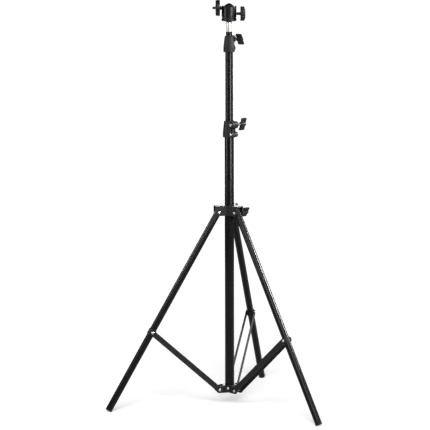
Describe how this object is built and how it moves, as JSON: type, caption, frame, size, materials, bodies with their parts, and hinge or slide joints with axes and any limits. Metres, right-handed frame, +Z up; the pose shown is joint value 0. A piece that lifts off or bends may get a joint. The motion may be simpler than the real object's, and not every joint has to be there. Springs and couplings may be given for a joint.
{
  "type": "folding light stand with ball head",
  "caption": "Black folding tripod light stand with braced legs, a telescopic clamp-locked mast, thumb screws and a mini ball head with a round camera platform.",
  "frame": {"origin": "on the floor under the centre of the bounding box of the open stand; the mast axis is 42.5 mm to +X and 32.7 mm to -Y of it", "axes": "+Z up along the mast; the camera platform faces -X and the head's lock knob is on +X; the stand is seen from -Y"},
  "size_m": [0.4994, 0.5084, 0.9593],
  "materials": {
    "tube_black": "drawn aluminium tube, semi-gloss black anodised",
    "brace_black": "flat bar, satin black powder coat",
    "moulded_black": "injection moulded glass-filled nylon, fine texture",
    "knob_black": "injection moulded plastic, satin",
    "head_black": "turned aluminium, satin black anodised",
    "rubber_black": "moulded rubber, matt",
    "bright_steel": "bright zinc plated steel",
    "blackened_steel": "machined steel, black oxide",
    "spigot_nickel": "turned brass or steel, nickel plated",
    "bush_grey": "moulded acetal, natural grey"
  },
  "bodies": {
    "mast_base": {"mast_tube_1": "tube_black", "lower_hub": "moulded_black", "hub_screw": "bright_steel", "hub_pin_rear": "bright_steel", "hub_pin_left": "bright_steel", "hub_pin_right": "bright_steel", "lock_1_clamp": "moulded_black", "lock_1_nut": "bright_steel", "lock_1_fixing_screw": "bright_steel"},
    "lock_1_handle": {"lock_1_screw": "bright_steel", "lock_1_knob": "moulded_black"},
    "collar": {"leg_collar": "moulded_black", "leg_pin_rear": "bright_steel", "leg_pin_left": "bright_steel", "leg_pin_right": "bright_steel", "collar_nut": "bright_steel"},
    "collar_handle": {"collar_screw": "bright_steel", "collar_knob": "moulded_black"},
    "leg_rear": {"leg_tube_rear": "tube_black", "foot_cap_rear": "rubber_black", "leg_saddle_rear": "moulded_black"},
    "leg_left": {"leg_tube_left": "tube_black", "foot_cap_left": "rubber_black", "leg_saddle_left": "moulded_black"},
    "leg_right": {"leg_tube_right": "tube_black", "foot_cap_right": "rubber_black", "leg_saddle_right": "moulded_black"},
    "brace_rear": {"brace_bar_rear_a": "brace_black", "brace_bar_rear_b": "brace_black", "brace_rivet_rear_a": "bright_steel", "brace_rivet_rear_b": "bright_steel"},
    "brace_left": {"brace_bar_left_a": "brace_black", "brace_bar_left_b": "brace_black", "brace_rivet_left_a": "bright_steel", "brace_rivet_left_b": "bright_steel"},
    "brace_right": {"brace_bar_right_a": "brace_black", "brace_bar_right_b": "brace_black", "brace_rivet_right_a": "bright_steel", "brace_rivet_right_b": "bright_steel"},
    "mast_2": {"mast_tube_2": "tube_black", "mast_2_end_bush": "bush_grey", "lock_2_clamp": "moulded_black", "lock_2_nut": "bright_steel", "lock_2_fixing_screw": "bright_steel"},
    "lock_2_handle": {"lock_2_screw": "bright_steel", "lock_2_knob": "moulded_black"},
    "mast_3": {"mast_tube_3": "tube_black", "mast_3_end_bush": "bush_grey", "spigot": "spigot_nickel"},
    "head": {"head_base": "head_black", "head_housing": "head_black", "ball_seat": "bush_grey"},
    "head_handle": {"head_screw": "bright_steel", "head_knob": "knob_black"},
    "ball": {"ball_stem": "head_black"},
    "platform": {"camera_platform": "head_black", "platform_pad": "rubber_black", "camera_stud": "blackened_steel"}
  },
  "joints": [
    {"name": "collar_slide", "type": "slide", "parent": "mast_base", "child": "collar", "axis": [0, 0, 1], "range_m": [0, 0.1146]},
    {"name": "leg_hinge_rear", "type": "hinge", "parent": "collar", "child": "leg_rear", "pos_m": [0.05042, -0.00692, 0.46443], "axis": [-0.9563, 0.2924, 0], "range_deg": [0, 30]},
    {"name": "leg_hinge_left", "type": "hinge", "parent": "collar", "child": "leg_left", "pos_m": [0.01621, -0.03881, 0.46443], "axis": [0.225, -0.9744, 0], "range_deg": [0, 30]},
    {"name": "leg_hinge_right", "type": "hinge", "parent": "collar", "child": "leg_right", "pos_m": [0.06094, -0.05248, 0.46443], "axis": [0.7314, 0.682, 0], "range_deg": [0, 30]},
    {"name": "brace_hinge_rear", "type": "hinge", "parent": "mast_base", "child": "brace_rear", "pos_m": [0.05042, -0.00692, 0.04], "axis": [0.9563, -0.2924, 0], "range_deg": [0, 47.88]},
    {"name": "brace_hinge_left", "type": "hinge", "parent": "mast_base", "child": "brace_left", "pos_m": [0.01621, -0.03881, 0.04], "axis": [-0.225, 0.9744, 0], "range_deg": [0, 47.88]},
    {"name": "brace_hinge_right", "type": "hinge", "parent": "mast_base", "child": "brace_right", "pos_m": [0.06094, -0.05248, 0.04], "axis": [-0.7314, -0.682, 0], "range_deg": [0, 47.88]},
    {"name": "collar_knob_turn", "type": "hinge", "parent": "collar", "child": "collar_handle", "pos_m": [0.07034, -0.0215, 0.46043], "axis": [0.9272, 0.3746, 0], "range_deg": [0, 360]},
    {"name": "lock_1_knob_turn", "type": "hinge", "parent": "mast_base", "child": "lock_1_handle", "pos_m": [0.05227, -0.04666, 0.67012], "axis": [0.8192, 0.5736, 0], "range_deg": [0, 360]},
    {"name": "mast_2_slide", "type": "slide", "parent": "mast_base", "child": "mast_2", "axis": [0, 0, 1], "range_m": [-0.16, 0.39]},
    {"name": "lock_2_knob_turn", "type": "hinge", "parent": "mast_2", "child": "lock_2_handle", "pos_m": [0.04833, -0.01837, 0.86762], "axis": [0.9272, -0.3746, 0], "range_deg": [0, 360]},
    {"name": "mast_3_slide", "type": "slide", "parent": "mast_2", "child": "mast_3", "axis": [0, 0, 1], "range_m": [0, 0.58]},
    {"name": "head_turn", "type": "hinge", "parent": "mast_3", "child": "head", "pos_m": [0.04252, -0.03274, 0.90912], "axis": [0, 0, 1], "range_deg": [-180, 180]},
    {"name": "head_knob_turn", "type": "hinge", "parent": "head", "child": "head_handle", "pos_m": [0.06832, -0.03274, 0.92732], "axis": [1, 0, 0], "range_deg": [0, 360]},
    {"name": "ball_tilt", "type": "hinge", "parent": "head", "child": "ball", "pos_m": [0.04252, -0.03274, 0.94072], "axis": [0, 1, 0], "range_deg": [0, 130]},
    {"name": "platform_roll", "type": "hinge", "parent": "ball", "child": "platform", "pos_m": [0.04252, -0.03274, 0.94072], "axis": [1, 0, 0], "continuous": true}
  ],
  "couplings": [
    {"joint": "leg_hinge_rear", "follows": "collar_slide", "rad_per_m": 4.568},
    {"joint": "leg_hinge_left", "follows": "collar_slide", "rad_per_m": 4.568},
    {"joint": "leg_hinge_right", "follows": "collar_slide", "rad_per_m": 4.568},
    {"joint": "brace_hinge_rear", "follows": "collar_slide", "rad_per_m": 7.291},
    {"joint": "brace_hinge_left", "follows": "collar_slide", "rad_per_m": 7.291},
    {"joint": "brace_hinge_right", "follows": "collar_slide", "rad_per_m": 7.291}
  ]
}
